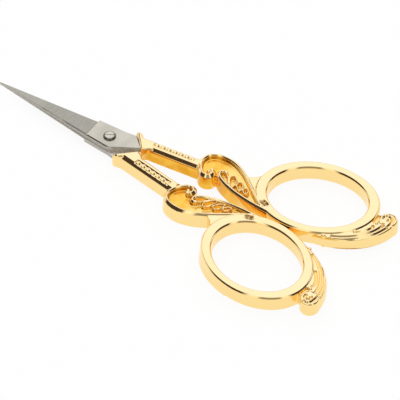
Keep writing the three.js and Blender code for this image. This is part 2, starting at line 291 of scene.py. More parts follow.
def makeCollar():
    front = collar["foot"] + smoothRun(collar["tip"], perSpan=4)
    flange = plate("collar", [front], castFoot, castTop, collar["edge"], collar["edgeDrop"], steps=0)
    cheek = plate("cheek", [smoothRun(collar["cheek"], perSpan=4)], castFoot, collar["cheekTop"],
                  collar["cheekEdge"], collar["cheekDrop"])
    return [flange, cheek]


beads = {
    "count": 7, "radius": 0.72, "pitch": 1.75, "offset": 0.4,
    "grooveRadius": 0.95, "grooveDepth": 0.6, "grooveEnd": 0.7,
}


def makeShank():
    lastBead = shank["reach"] - beads["pitch"]
    firstBead = lastBead - (beads["count"] - 1) * beads["pitch"]
    barRun = [shankAxis(shankStart), shankAxis(shank["reach"] + shank["overlap"])]
    bar = sweep("shank", barRun, shank["section"])
    span, behind = collar["cutSpan"], collar["depth"] / 2
    corners = ((-span, behind), (-span, -span), (span, -span), (span, behind))
    outline = [collarSpot(*corner) for corner in corners]
    ahead = sharpPlate("ahead", outline, -casting["clear"], casting["clear"])
    cutAway([bar], ahead)
    aside = shankAcross * beads["offset"]
    beyond = shankDir * beads["grooveEnd"]
    groove = [shankAxis(firstBead) - beyond + aside, shankAxis(lastBead) + beyond + aside]
    radius = beads["grooveRadius"]
    for side in (1, -1):
        lift = side * (castTop - beads["grooveDepth"] + radius)
        cutAway([bar], sweep("groove", groove, ellipseRun((0, lift), radius, radius, 0, count=48)))
    row = []
    for i in range(beads["count"]):
        spot = shankAxis(firstBead + i * beads["pitch"]) + aside
        row += balls("bead", spot, beads["radius"], castTop)
    return [bar] + row


ring = {
    "reach": 56.8, "holeHalf": (13.25, 10.3), "half": (16.43, 12.73), "tiltDeg": 15.1,
    "spare": 0.01, "edge": 0.42, "edgeDrop": 0.5,
    "flareDeg": (80, 185), "flare": 0.5, "flareTop": 1.4, "flareRoot": -1.2,
}

ringTilt = math.radians(ring["tiltDeg"])
ringSide = math.hypot(ring["half"][0] * math.sin(ringTilt), ring["half"][1] * math.cos(ringTilt))
ringCentre = Vector((ring["reach"], casting["closedGap"] / 2 + ringSide + ring["spare"]))


def fromRing(x, y):
    return ringCentre + turnedSpot((0, 0), x, y, ring["tiltDeg"])


def onBand(deg):
    a, b = ((h + o) / 2 for h, o in zip(ring["holeHalf"], ring["half"]))
    return fromRing(a * math.cos(math.radians(deg)), b * math.sin(math.radians(deg)))


def makeRing():
    outer = ellipseRun(ringCentre, *ring["half"], ring["tiltDeg"], count=180)
    hole = ellipseRun(ringCentre, *ring["holeHalf"], ring["tiltDeg"], count=180)
    band = plate("ring", [outer, hole], castFoot, castTop, ring["edge"], ring["edgeDrop"], steps=0)
    first, last = ring["flareDeg"]
    a, b = ring["half"]
    run = []
    for deg in range(first, last + 1, 3):
        angle = math.radians(deg)
        inset = ring["flare"] * math.cos(math.pi * (deg - first) / (last - first)) ** 2
        run.append(fromRing((a - inset) * math.cos(angle), (b - inset) * math.sin(angle)))
    root, flareTop = ring["flareRoot"], ring["flareTop"]
    section = [(root, castFoot), (ring["flare"], castFoot), (0, flareTop), (root, flareTop)]
    return [band, sweep("flare", run, section)]


# scroll: an outer rim from the volute to the tail, an inner rim from the hook, a sunk floor and petals

scroll = {
    # a chamfer's width, with the first and last points of the sweep that have it
    "chamfers": [(0.64, 0, 2), (0.55, 1, 5), (0.48, 4, 12), (0.42, 11, 22), (0.36, 21, 40)],
    "innerChamfer": 0.4, "chamferDrop": 1.15, "rimFoot": 0.4, "rimOutside": [(0.12, 1.95), (0.06, 2.2)],
    "rimInside": [(0.02, 2.2), (-0.06, 2.28), (-0.14, castTop), (-0.22, 2.29), (-0.28, 2.24),
                  (-0.58, 1.86), (-0.62, 1.74), (-0.66, castFoot)],
    "floorTop": 0.8, "floorFrom": 9, "bowlSmoothing": 14,
    "voluteAt": (4.1, -0.95), "voluteRadii": (0.95, 1.9), "voluteDeg": (70, -215),
    "crestAt": (5.4, 5.9), "backBulge": 1.4, "backPull": (0.2, 0.36),
    "sweepPull": ((0.36, 1.02), (0.66, 0.46)),
    "hookAt": (7.5, 0.6), "hookRadius": 0.95, "hookDeg": (55, 140), "hookPull": (-0.285, -1.425),
    "tailLead": 9.6, "tailSide": 2.1, "innerTailDeg": 242, "innerPull": (0.3, 0.612),
    "endRadius": 0.46, "endEdge": 0.25, "endDrop": 0.3,
    "eyeHeight": 1.5, "eyeRadii": (0.62, 0.62, 0.75),
    # a petal's middle, length, width and lean
    "petals": [((33.2, 5.0), 4.7, 1.9, -35), ((35.95, 4.9), 4.2, 1.7, -60),
               ((38.5, 4.5), 3.2, 1.5, -57), ((40.75, 3.95), 2.3, 1.2, -52)],
    "petalTaper": 0.3,
    "petalSection": [(0.26, 0), (0.22, 1.6), (0.15, 2.02), (0, 2.16),
                     (-0.15, 2.02), (-0.22, 1.6), (-0.26, 0)],
}

scrollStart = shankAxis(shank["reach"])
voluteCentre = scrollStart + Vector(scroll["voluteAt"])
scrollTop = scrollStart + Vector(scroll["crestAt"])
hookCentre = scrollStart + Vector(scroll["hookAt"])
scrollTail = Vector((ringCentre.x - scroll["tailLead"], scroll["tailSide"]))
innerTail = onBand(scroll["innerTailDeg"])

volute = spiralRun(voluteCentre, *scroll["voluteDeg"], *scroll["voluteRadii"], count=28)
crestRise, bulge = scroll["crestAt"][1], scroll["backBulge"]
lowPull, highPull = scroll["backPull"]
rimBack = bezierRun(volute[-1], scrollStart + Vector((-bulge, crestRise * lowPull)),
                    scrollStart + Vector((-bulge * highPull, crestRise)), scrollTop, count=24)
sweepPulls = [(lerp(scrollTop.x, scrollTail.x, along), scrollTop.y * up)
              for along, up in scroll["sweepPull"]]
rimSweep = bezierRun(scrollTop, *sweepPulls, scrollTail, count=40)
hook = spiralRun(hookCentre, *scroll["hookDeg"], scroll["hookRadius"], scroll["hookRadius"], count=14)
innerAlong, innerSide = scroll["innerPull"]
innerSweep = bezierRun(hook[-1], hook[-1] + Vector(scroll["hookPull"]),
                       (lerp(hook[-1].x, innerTail.x, innerAlong), innerSide), innerTail, count=36)
floorOutline = rimBack + rimSweep[1:] + innerSweep[::-1] + volute[scroll["floorFrom"]:-1]


# a petal's outline, narrower at the end it leans toward
def dropRun(centre, length, width, leanDeg, count=40):
    run = []
    for i in range(count):
        angle = 2 * math.pi * i / count
        x = length / 2 * math.cos(angle)
        y = width / 2 * math.sin(angle) * (1 - scroll["petalTaper"] * math.cos(angle))
        run.append(turnedSpot(centre, x, y, leanDeg))
    return run


# rim wall with a chamfer of the given width outside and a small one inside
def rimSection(chamfer):
    drop = scroll["chamferDrop"] * chamfer
    outside = [(across + chamfer, up - drop) for across, up in scroll["rimOutside"]]
    return [(scroll["rimFoot"] + chamfer, castFoot)] + outside + scroll["rimInside"]


def makeScroll():
    inner = sweep("innerRim", hook + innerSweep[1:], rimSection(scroll["innerChamfer"]))
    floor = sharpPlate("floor", floorOutline, -scroll["floorTop"], scroll["floorTop"])
    made = [inner, floor]
    for chamfer, first, last in scroll["chamfers"]:
        run = rimSweep[first:last + 1]
        if first == 0:
            run = volute + rimBack[1:] + run[1:]
        made.append(sweep("outerRim", run, rimSection(chamfer), flip=True))
    for spot in (volute[0], hook[0]):
        run = ellipseRun(spot, scroll["endRadius"], scroll["endRadius"], 0, count=24)
        made.append(plate("rimEnd", [run], castFoot, castTop, scroll["endEdge"], scroll["endDrop"]))
    made += bumps("eye", voluteCentre, scroll["eyeHeight"], scroll["eyeRadii"])
    for petal in scroll["petals"]:
        made.append(sweep("petal", dropRun(*petal), scroll["petalSection"], closed=True))
    return made


# web between scroll and ring, with a pocket of three buds at the tail

web = {
    "top": 1.84, "edge": 0.25, "edgeDrop": 0.35, "rootDeg": (170, 225), "rimFrom": 18,
    "notch": [(38.4, 9.3), (39.2, 9.7), (39.9, 10.4), (40.7, 11.4)],
    "pocketAt": (47.1, 3.25), "pocketHalf": (1.55, 0.78), "pocketTurnDeg": -18, "pocketFloor": 0.9,
    "buds": [((46.05, 3.6), 0.56), ((47.1, 3.4), 0.6), ((48.1, 2.9), 0.56)], "budDrop": 0.06,
}


def makeWeb():
    first, last = web["rootDeg"]
    front = [onBand(deg) for deg in range(first, last + 1, 5)]
    rim = rimSweep[web["rimFrom"]:]
    notch = smoothRun([rim[0]] + web["notch"] + [front[0]], perSpan=5)
    outline = rim + [innerTail] + front[::-1] + notch[-2:0:-1]
    return plate("web", [outline], castFoot, web["top"], web["edge"], web["edgeDrop"])


def makeBuds():
    made = []
    for spot, radius in web["buds"]:
        made += balls("bud", spot, radius, castTop - web["budDrop"])
    return made


def pocketCutters():
    run = ellipseRun(web["pocketAt"], *web["pocketHalf"], web["pocketTurnDeg"], count=32)
    floor, clear = web["pocketFloor"], casting["clear"]
    return [sharpPlate("pocket", run, low, high) for low, high in ((floor, clear), (-clear, -floor))]


# tail leaf: a body with a boss, grooves that wind round an eye, and a few pearls

leaf = {
    "bossAt": (19.55, -1.15), "bossRadius": 2.57, "bossTurnDeg": 145, "rootDeg": (2, -72),
    "edgeStart": (0.17, -0.985), "edgePull": ((0.625, -1.05), (-0.1, -0.755)),
    "top": 1.85, "edge": 0.75, "edgeDrop": 1.4,
    "bossTop": 2.2, "bossEdge": 0.7, "bossDrop": 0.9,
    "grooveSection": [(-0.72, 2.15), (0.72, 2.15), (0.05, 1.3), (-0.05, 1.3)],
    "grooves": [[(68.6, 3.6), (71.4, 5.4), (74.0, 8.0), (76.0, 11.0), (77.1, 14.2), (77.4, 16.6),
                 (76.95, 18.5), (76.0, 19.2), (75.1, 18.8)],
                [(67.4, 3.9), (70.2, 5.7), (73.0, 8.3), (74.9, 11.2), (75.8, 13.9), (75.7, 15.4)],
                [(71.4, 8.4), (73.0, 10.2), (74.0, 11.9), (74.1, 13.1), (73.6, 13.2)]],
    "eyeAt": (75.5, 17.25), "eyeRadius": 0.8, "eyeDeg": (-60, 285),
    "pearls": [(74.3, 14.4), (74.7, 15.3), (76.3, 15.6), (75.5, 17.25)], "pearlRadius": 0.36,
    "notchAt": (73.35, 15.9), "notchHalf": (1.7, 0.75), "notchTurnDeg": 98, "notchFloor": 1.0,
    "notchEdge": 0.3, "notchDrop": 0.5,
    "knob": ((65.9, 2.95), 0.5), "knobDrop": 0.1,
}


def leafOutline():
    bossX, bossY = leaf["bossAt"]
    tip = Vector((bossX + leaf["bossRadius"], bossY))
    a, b = ring["half"]
    startX, startY = leaf["edgeStart"]
    (firstX, firstY), (lastX, lastY) = leaf["edgePull"]
    edge = bezierRun((startX * a, startY * b), (firstX * a, firstY * b),
                     (tip.x + lastX * a, lastY * b), tip, count=36)
    radius = leaf["bossRadius"]
    boss = spiralRun(leaf["bossAt"], 0, leaf["bossTurnDeg"], radius, radius, count=24)
    root = [onBand(deg) for deg in range(*leaf["rootDeg"], -6)]
    return [fromRing(p.x, p.y) for p in edge + boss[1:]] + root


# grooves and notch for one face; lift raises the grooves from the body's face to the boss's
def leafCutters(side, lift):
    runs = [smoothRun(groove) for groove in leaf["grooves"]]
    runs.append(spiralRun(leaf["eyeAt"], *leaf["eyeDeg"], leaf["eyeRadius"], leaf["eyeRadius"], count=28))
    section = [(across, side * (up + lift)) for across, up in leaf["grooveSection"]]
    cutters = [sweep("groove", run, section) for run in runs]
    notch = ellipseRun(leaf["notchAt"], *leaf["notchHalf"], leaf["notchTurnDeg"], count=28)
    low, high = sorted((side * leaf["notchFloor"], side * casting["clear"]))
    cutters.append(plate("notch", [notch], low, high, leaf["notchEdge"], leaf["notchDrop"]))
    return cutters


def makeLeaf():
    body = plate("leafBody", [leafOutline()], castFoot, leaf["top"], leaf["edge"], leaf["edgeDrop"])
    bossRun = ellipseRun(fromRing(*leaf["bossAt"]), leaf["bossRadius"], leaf["bossRadius"], 0, count=64)
    boss = plate("boss", [bossRun], castFoot, leaf["bossTop"], leaf["bossEdge"], leaf["bossDrop"])
    for piece, lift in ((body, 0), (boss, leaf["bossTop"] - leaf["top"])):
        for side in (1, -1):
            for cutter in leafCutters(side, lift):
                cutAway([piece], cutter, "MANIFOLD")
    made = [body, boss]
    for spot in leaf["pearls"]:
        made += balls("pearl", spot, leaf["pearlRadius"], leaf["bossTop"])
    spot, radius = leaf["knob"]
    made += balls("knob", spot, radius, castTop - leaf["knobDrop"])
    return made


def makeCasting():
    ringPieces = makeRing() + [makeWeb()]
    scrollPieces = makeScroll()
    innerRim, floor = scrollPieces[:2]
    for cutter in pocketCutters():
        cutAway(ringPieces + [innerRim, floor], cutter)
    pieces = ringPieces + scrollPieces + makeBuds() + makeShank() + makeCollar() + makeLeaf()
    print("casting pieces modelled:", len(pieces))
    handle = joined(pieces)
    useModifier(handle, "REMESH", mode="VOXEL", voxel_size=casting["voxel"], use_smooth_shade=True)
    useModifier(handle, "SMOOTH", factor=0.5, iterations=casting["smoothing"])
    count = sum(len(p.vertices) - 2 for p in handle.data.polygons)
    print("casting remeshed:", count, "triangles")
    if count > casting["triangles"]:
        useModifier(handle, "DECIMATE", ratio=casting["triangles"] / count)
    return handle


# each casting is bored for its own blade's tang
def boreForTang(handle, side):
    bpy.ops.mesh.primitive_cube_add(size=1)
    cutter = bpy.context.object
    length, width, height = shank["tang"]
    full = collar["reach"] + length - shankStart
    middle = shankAxis(shankStart + full / 2)
    cutter.scale = (full, width, height)
    cutter.rotation_euler.z = side * slope
    cutter.location = (middle.x, side * middle.y, side * shank["tangHeight"])
    bpy.ops.object.transform_apply(location=True, rotation=True, scale=True)
    cutAway([handle], cutter, "MANIFOLD")


# levels are heights from the mid-plane, each with the depth over which the mark comes in
sunkMarks = {
    "floor": (2.15, 0.45), "notch": (1.7, 1.2), "bowl": (1.4, 0.5),
    "notchMargin": 0.2, "least": 0.02,
}

notchHalf = [half + sunkMarks["notchMargin"] for half in leaf["notchHalf"]]
notchOutline = ellipseRun(leaf["notchAt"], *notchHalf, leaf["notchTurnDeg"], count=28)


def mark(handle, name, share):
    handle.data.attributes.new(name, "FLOAT", "POINT").data.foreach_set("value", share)


# from 0 to 1, how far the points inside an outline lie below a level
def sunkShare(handle, side, outline, level, fade):
    x, y, z = placesOf(handle).T
    y = side * y
    inside = np.zeros(len(x), bool)
    for p, q in zip(outline, outline[1:] + outline[:1]):
        if p.y != q.y:
            crosses = (p.y > y) != (q.y > y)
            inside ^= crosses & (x < p.x + (y - p.y) * (q.x - p.x) / (q.y - p.y))
    return np.clip((level - np.abs(z)) / fade, 0, 1) * inside


# an attribute that is 1 on the sunk parts of scroll and leaf, where the plating is rougher and is painted a
# deeper, darker gold as shade
def markShadedRecess(handle, side):
    floorShare = sunkShare(handle, side, floorOutline, *sunkMarks["floor"])
    notchShare = sunkShare(handle, side, notchOutline, *sunkMarks["notch"])
    mark(handle, "shadedRecess", np.maximum(floorShare, notchShare))


# by distance from the pivot: how far from the middle line the walls lie, and how strongly the painted
# reflection of the other half shows on them
innerReflection = {
    "limit": ([8, 24, 29, 34, 44, 70], [3.4, 5.2, 6.2, 4.4, 3.2, 3.2]), "limitFade": 0.4,
    "along": ([9, 11.5, 38, 46, 58], [0, 1, 1, 0.1, 0]),
    "facing": (0.25, 0.3), "upright": (0.36, 0.14),  # limits and fades for parts of the normal
}


# the inner attribute is 1 on the walls that face the other half, where a deeper orange is painted as the
# reflection of the other half's gold
def markInnerReflection(handle, side):
    x, y = placesOf(handle).T[:2]
    normals = np.empty(len(x) * 3)
    handle.data.vertex_normals.foreach_get("vector", normals)
    facingFrom, facingFade = innerReflection["facing"]
    facing = np.clip((-side * normals[1::3] - facingFrom) / facingFade, 0, 1)
    near = np.clip((np.interp(x, *innerReflection["limit"]) - side * y) / innerReflection["limitFade"], 0, 1)
    uprightFrom, uprightFade = innerReflection["upright"]
    upright = np.clip((uprightFrom - np.abs(normals[2::3])) / uprightFade, 0, 1)
    mark(handle, "inner", facing * near * upright * np.interp(x, *innerReflection["along"]))


# the scroll's floor is rounded into its walls like a bowl
def dishFloor(handle):
    share = sunkShare(handle, 1, floorOutline, *sunkMarks["bowl"])
    group = handle.vertex_groups.new(name="bowl")
    for i in np.nonzero(share > sunkMarks["least"])[0]:
        group.add([int(i)], float(share[i]), "REPLACE")
    useModifier(handle, "SMOOTH", factor=0.5, iterations=scroll["bowlSmoothing"], vertex_group="bowl")
    handle.vertex_groups.clear()


handleTop = makeCasting()
handleTop.name = "handleTop"
dishFloor(handleTop)
handleUnder = handleTop.copy()
handleUnder.data = handleTop.data.copy()
handleUnder.name = "handleUnder"
bpy.context.collection.objects.link(handleUnder)
handleUnder.data.transform(Matrix.Scale(-1, 4, Vector((0, 1, 0))))
handleUnder.data.flip_normals()
for handlePiece, side, node in ((handleTop, 1, "handle_upper"), (handleUnder, -1, "handle_lower")):
    boreForTang(handlePiece, side)
    markShadedRecess(handlePiece, side)
    markInnerReflection(handlePiece, side)
    settle(handlePiece, node)
    bpy.ops.object.shade_smooth()
print("castings bored and settled")


# blades, in metres: the CAD blades with their outer edges eased and their inner faces brought together

blade = {
    "ease": 0.00027, "easeFrom": 0.00045, "face": 0.0013, "seam": 0.00001, "seamReach": 0.0001,
    "step": -0.005, "stepMerge": 0.0003, "longEdge": 0.02,
    "weld": 0.000001, "flatDeg": 1, "smoothDeg": 14,
}


def fromMiddle(place):
    return abs(place.z - pivotPlace.z)


def onWedge(place):
    return place.x - pivotPlace.x < blade["step"]


# a CAD mesh is loose triangles, so the copy is welded and its flat faces are made whole
def weldedCopy(name, node):
    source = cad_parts[node]
    piece = source.copy()
    piece.data = source.data.copy()
    piece.name = name
    bpy.context.collection.objects.link(piece)
    onlySelect(piece)
    bpy.ops.object.mode_set(mode="EDIT")
    bpy.ops.mesh.select_all(action="SELECT")
    bpy.ops.mesh.remove_doubles(threshold=blade["weld"])
    bpy.ops.mesh.dissolve_limited(angle_limit=math.radians(blade["flatDeg"]))
    bpy.ops.mesh.normals_make_consistent(inside=False)
    bpy.ops.mesh.select_all(action="DESELECT")
    bpy.ops.object.mode_set(mode="OBJECT")
    return piece


# close points at the wedge's heel become one, as an eased edge would spike there
def mergeHeel(piece):
    for vertex in piece.data.vertices:
        vertex.select = onWedge(vertex.co) and fromMiddle(vertex.co) > blade["face"]
    bpy.ops.object.mode_set(mode="EDIT")
    bpy.ops.mesh.remove_doubles(threshold=blade["stepMerge"])
    bpy.ops.mesh.select_all(action="DESELECT")
    bpy.ops.mesh.select_mode(type="EDGE")
    bpy.ops.object.mode_set(mode="OBJECT")


def halveLongEdges(piece):
    for edge in piece.data.edges:
        ends = [piece.data.vertices[index].co for index in edge.vertices]
        raised = min(fromMiddle(end) for end in ends) > blade["seamReach"]
        edge.select = raised and (ends[0] - ends[1]).length > blade["longEdge"]
    bpy.ops.object.mode_set(mode="EDIT")
    bpy.ops.mesh.subdivide(number_cuts=1)
    bpy.ops.mesh.select_mode(type="VERT")
    bpy.ops.object.mode_set(mode="OBJECT")


def closeSeam(piece):
    for vertex in piece.data.vertices:
        if fromMiddle(vertex.co) < blade["seamReach"]:
            vertex.co.z = pivotPlace.z + math.copysign(blade["seam"], vertex.co.z - pivotPlace.z)


def easeOuterEdges(piece):
    outer = []
    for vertex in piece.data.vertices:
        limit = blade["easeFrom"] if onWedge(vertex.co) else blade["face"]
        if fromMiddle(vertex.co) > limit:
            outer.append(vertex.index)
    piece.vertex_groups.new(name="outer").add(outer, 1, "REPLACE")
    useModifier(piece, "BEVEL", width=blade["ease"], segments=1, limit_method="VGROUP",
                vertex_group="outer", use_clamp_overlap=False)
    piece.vertex_groups.clear()


def easedBlade(name, node):
    piece = weldedCopy(name, node)
    mergeHeel(piece)
    halveLongEdges(piece)
    closeSeam(piece)
    easeOuterEdges(piece)
    bpy.ops.object.shade_smooth_by_angle(angle=math.radians(blade["smoothDeg"]))
    print(name, "has", len(piece.data.polygons), "faces")
    return piece


bladeTop = easedBlade("bladeTop", "blade_upper")
bladeUnder = easedBlade("bladeUnder", "blade_lower")
print("blades eased")


# screw: a low button head with a worn slot, on a plain shank

screw = {
    "profile": [(0, -1.37), (1.1, -1.37), (1.1, 1.43), (1.68, 1.43), (1.69, 1.52), (1.62, 1.65),
                (1.48, 1.8), (1.3, 1.92), (1.1, 2.0), (0.85, 2.06), (0.5, 2.11), (0, 2.13)],
    "slot": (3.6, 0.34, 0.7), "slotTurnDeg": 36,
    "ease": 0.05, "easeDeg": 40, "smoothDeg": 35,
}


def makeScrew():
    made = drawCurve("screw", [screw["profile"]], False)
    onlySelect(made)
    bpy.ops.object.convert(target="MESH")
    made.rotation_euler.x = math.pi / 2
    bpy.ops.object.transform_apply(location=False, rotation=True, scale=False)
    bpy.ops.object.mode_set(mode="EDIT")
    bpy.ops.mesh.select_all(action="SELECT")
    bpy.ops.mesh.spin(steps=64, angle=2 * math.pi, center=(0, 0, 0), axis=(0, 0, 1))
    bpy.ops.mesh.select_all(action="SELECT")
    bpy.ops.mesh.remove_doubles(threshold=weld)
    bpy.ops.mesh.normals_make_consistent(inside=False)
    bpy.ops.object.mode_set(mode="OBJECT")
    bpy.ops.mesh.primitive_cube_add(size=1)
    slot = bpy.context.object
    slot.scale = screw["slot"]
    slot.rotation_euler.z = math.radians(screw["slotTurnDeg"])
    slot.location = (0, 0, screw["profile"][-1][1])
    bpy.ops.object.transform_apply(location=True, rotation=True, scale=True)
    cutAway([made], slot, "MANIFOLD")
    useModifier(made, "BEVEL", width=screw["ease"], segments=2, limit_method="ANGLE",
                angle_limit=math.radians(screw["easeDeg"]))
    settle(made, "pivot_screw")
    bpy.ops.object.shade_smooth_by_angle(angle=math.radians(screw["smoothDeg"]))
    return made


screwPiece = makeScrew()
print("screw made")


# finishes: a span is where a tone comes in, and lengths are in metres

def newMaterial(name):
    material = bpy.data.materials.new(name)
    material.use_nodes = True
    return material, material.node_tree, material.node_tree.nodes["Principled BSDF"]


def addNode(tree, kind, **values):
    node = tree.nodes.new(kind)
    for key, value in values.items():
        setattr(node, key, value)
    return node


def feed(tree, target, value):
    if isinstance(value, bpy.types.NodeSocket):
        tree.links.new(value, target)
    else:
        target.default_value = value


def calc(tree, operation, a, b=0.0):
    node = addNode(tree, "ShaderNodeMath", operation=operation)
    feed(tree, node.inputs[0], a)
    feed(tree, node.inputs[1], b)
    return node.outputs[0]


def times(tree, a, b):
    return calc(tree, "MULTIPLY", a, b)


def ramp(tree, value, start, end, low=0.0, high=1.0):
    node = addNode(tree, "ShaderNodeMapRange", interpolation_type="SMOOTHSTEP")
    sockets = ("Value", "From Min", "From Max", "To Min", "To Max")
    for key, item in zip(sockets, (value, start, end, low, high)):
        feed(tree, node.inputs[key], item)
    return node.outputs["Result"]


def blend(tree, factor, a, b):
    node = addNode(tree, "ShaderNodeMix", data_type="RGBA")
    feed(tree, node.inputs["Factor"], factor)
    feed(tree, node.inputs[6], a)
    feed(tree, node.inputs[7], b)
    return node.outputs[2]


def noise(tree, place, scale, detail):
    node = addNode(tree, "ShaderNodeTexNoise")
    tree.links.new(place, node.inputs["Vector"])
    node.inputs["Scale"].default_value = scale
    node.inputs["Detail"].default_value = detail
    return node.outputs["Fac"]


def stretched(tree, place, scale):
    node = addNode(tree, "ShaderNodeVectorMath", operation="MULTIPLY")
    tree.links.new(place, node.inputs[0])
    node.inputs[1].default_value = scale
    return node.outputs[0]


def splitAxes(tree, vector):
    node = addNode(tree, "ShaderNodeSeparateXYZ")
    tree.links.new(vector, node.inputs[0])
    return node.outputs


def marked(tree, name):
    return addNode(tree, "ShaderNodeAttribute", attribute_name=name).outputs["Fac"]


def addBump(tree, shader, height, strength, distance):
    bump = addNode(tree, "ShaderNodeBump")
    bump.inputs["Strength"].default_value = strength
    bump.inputs["Distance"].default_value = distance
    tree.links.new(height, bump.inputs["Height"])
    tree.links.new(bump.outputs[0], shader.inputs["Normal"])


# a node group that takes a place and gives one number for each title
def newGroup(name, *titles):
    group = bpy.data.node_groups.new(name, "ShaderNodeTree")
    group.interface.new_socket("Place", in_out="INPUT", socket_type="NodeSocketVector")
    for title in titles:
        group.interface.new_socket(title, in_out="OUTPUT", socket_type="NodeSocketFloat")
    start = addNode(group, "NodeGroupInput")
    end = addNode(group, "NodeGroupOutput")
    return group, start.outputs["Place"], end


def useGroup(tree, group, place):
    node = addNode(tree, "ShaderNodeGroup", node_tree=group)
    tree.links.new(place, node.inputs["Place"])
    return node.outputs


# each noise is its scale and detail
unevenLook = {"tone": (260, 3), "dulling": (900, 4), "dullingSpan": (0.35, 0.75), "wave": (420, 1)}


# soft unevenness of a polished casting: broad tone, fine dulling and a slight wave
def castUnevenness():
    group, place, end = newGroup("castUnevenness", "Tone", "Dulling", "Wave")
    dulling = ramp(group, noise(group, place, *unevenLook["dulling"]), *unevenLook["dullingSpan"])
    feed(group, end.inputs["Tone"], noise(group, place, *unevenLook["tone"]))
    feed(group, end.inputs["Dulling"], dulling)
    feed(group, end.inputs["Wave"], noise(group, place, *unevenLook["wave"]))
    return group


grindLook = {
    "lines": (5200, 3), "lineStretch": (1, 0.06, 0.3),
    "clouds": (210, 3), "cloudStretch": (1, 0.5, 1),
}


# fine lines that run across the blade, as the grinding wheel leaves them
def grindLines():
    group, place, end = newGroup("grindLines", "Lines", "Clouds")
    linePlace = stretched(group, place, grindLook["lineStretch"])
    cloudPlace = stretched(group, place, grindLook["cloudStretch"])
    feed(group, end.inputs["Lines"], noise(group, linePlace, *grindLook["lines"]))
    feed(group, end.inputs["Clouds"], noise(group, cloudPlace, *grindLook["clouds"]))
    return group


unevenness = castUnevenness()
grinding = grindLines()

goldLook = {
    # top against side is a painted sheen: faces that point up get a paler gold than the walls
    "top": (1.0, 0.8, 0.47, 1), "side": (1.0, 0.74, 0.315, 1), "sheenTopSpan": (0.55, 0.98),
    "unevenSpan": (0.35, 0.75), "unevenShare": 0.1,
    # painted shade: the sunk parts get a deeper, darker gold, which turns to the lighter cell tone along X
    "shadedRecess": (0.98, 0.6, 0.11, 1), "recessShadeDark": (0.88, 0.46, 0.055, 1), "recessShadeSpan": (0.42, 0.66),
    "cell": (1.0, 0.72, 0.25, 1), "cellSpan": (0.0095, 0.0125),
    # painted reflection: a deeper orange for the walls that face the other half and mirror its gold
    "inner": (0.93, 0.51, 0.06, 1), "innerReflectionDark": (0.8, 0.36, 0.02, 1), "innerReflectionSpan": (0.4, 0.7),
    # painted shade: the web's pocket between the buds is darkened towards its middle
    "pocketShade": (0.34, 0.19, 0.05, 1), "pitSpan": (0.7, 1.1), "pitShare": 0.62,
    "roughness": (0.05, 0.12), "recessRoughness": 0.2, "bump": (0.12, 0.00005),
}


# squared distance from the middle of the web's pocket, counted in its half length and half width
def pocketSpread(tree, place):
    pitX, pitY = (at * mm for at in web["pocketAt"])
    halfX, halfY = (half * mm for half in web["pocketHalf"])
    along = calc(tree, "SUBTRACT", place["X"], pivotPlace.x + pitX)
    aside = calc(tree, "SUBTRACT", calc(tree, "ABSOLUTE", place["Y"]), pitY)
    along = calc(tree, "DIVIDE", along, halfX)
    aside = calc(tree, "DIVIDE", aside, halfY)
    return calc(tree, "ADD", times(tree, along, along), times(tree, aside, aside))


def polishedGold():
    material, tree, shader = newMaterial("polishedGold")
    coords = addNode(tree, "ShaderNodeTexCoord")
    uneven = useGroup(tree, unevenness, coords.outputs["Object"])
    place = splitAxes(tree, coords.outputs["Object"])
    # painted sheen: paler gold on faces that point up, deeper gold on the walls
    upward = calc(tree, "ABSOLUTE", splitAxes(tree, coords.outputs["Normal"])["Z"])
    plated = blend(tree, ramp(tree, upward, *goldLook["sheenTopSpan"]), goldLook["side"], goldLook["top"])
    cloudy = ramp(tree, uneven["Tone"], *goldLook["unevenSpan"], 0, goldLook["unevenShare"])
    plated = blend(tree, cloudy, plated, goldLook["side"])
    # painted reflection: the walls facing the other half get a deeper orange, as if they mirrored its gold
    cloudy = ramp(tree, uneven["Tone"], *goldLook["innerReflectionSpan"])
    deep = blend(tree, cloudy, goldLook["inner"], goldLook["innerReflectionDark"])
    plated = blend(tree, marked(tree, "inner"), plated, deep)
    # painted shade: the sunk parts get a deeper gold, which turns to the lighter cell tone along X
    cloudy = ramp(tree, uneven["Tone"], *goldLook["recessShadeSpan"])
    sunk = blend(tree, cloudy, goldLook["shadedRecess"], goldLook["recessShadeDark"])
    sunk = blend(tree, ramp(tree, place["X"], *goldLook["cellSpan"]), sunk, goldLook["cell"])
    shadedRecess = marked(tree, "shadedRecess")
    tone = blend(tree, shadedRecess, plated, sunk)
    # painted shade: darker towards the middle of the pocket between the buds
    pocketShade = ramp(tree, pocketSpread(tree, place), *goldLook["pitSpan"], goldLook["pitShare"], 0)
    feed(tree, shader.inputs["Base Color"], blend(tree, pocketShade, tone, goldLook["pocketShade"]))
    polish = ramp(tree, uneven["Dulling"], 0, 1, *goldLook["roughness"])
    dull = times(tree, shadedRecess, goldLook["recessRoughness"])
    feed(tree, shader.inputs["Roughness"], calc(tree, "ADD", polish, dull))
    shader.inputs["Metallic"].default_value = 1
    addBump(tree, shader, uneven["Wave"], *goldLook["bump"])
    return material


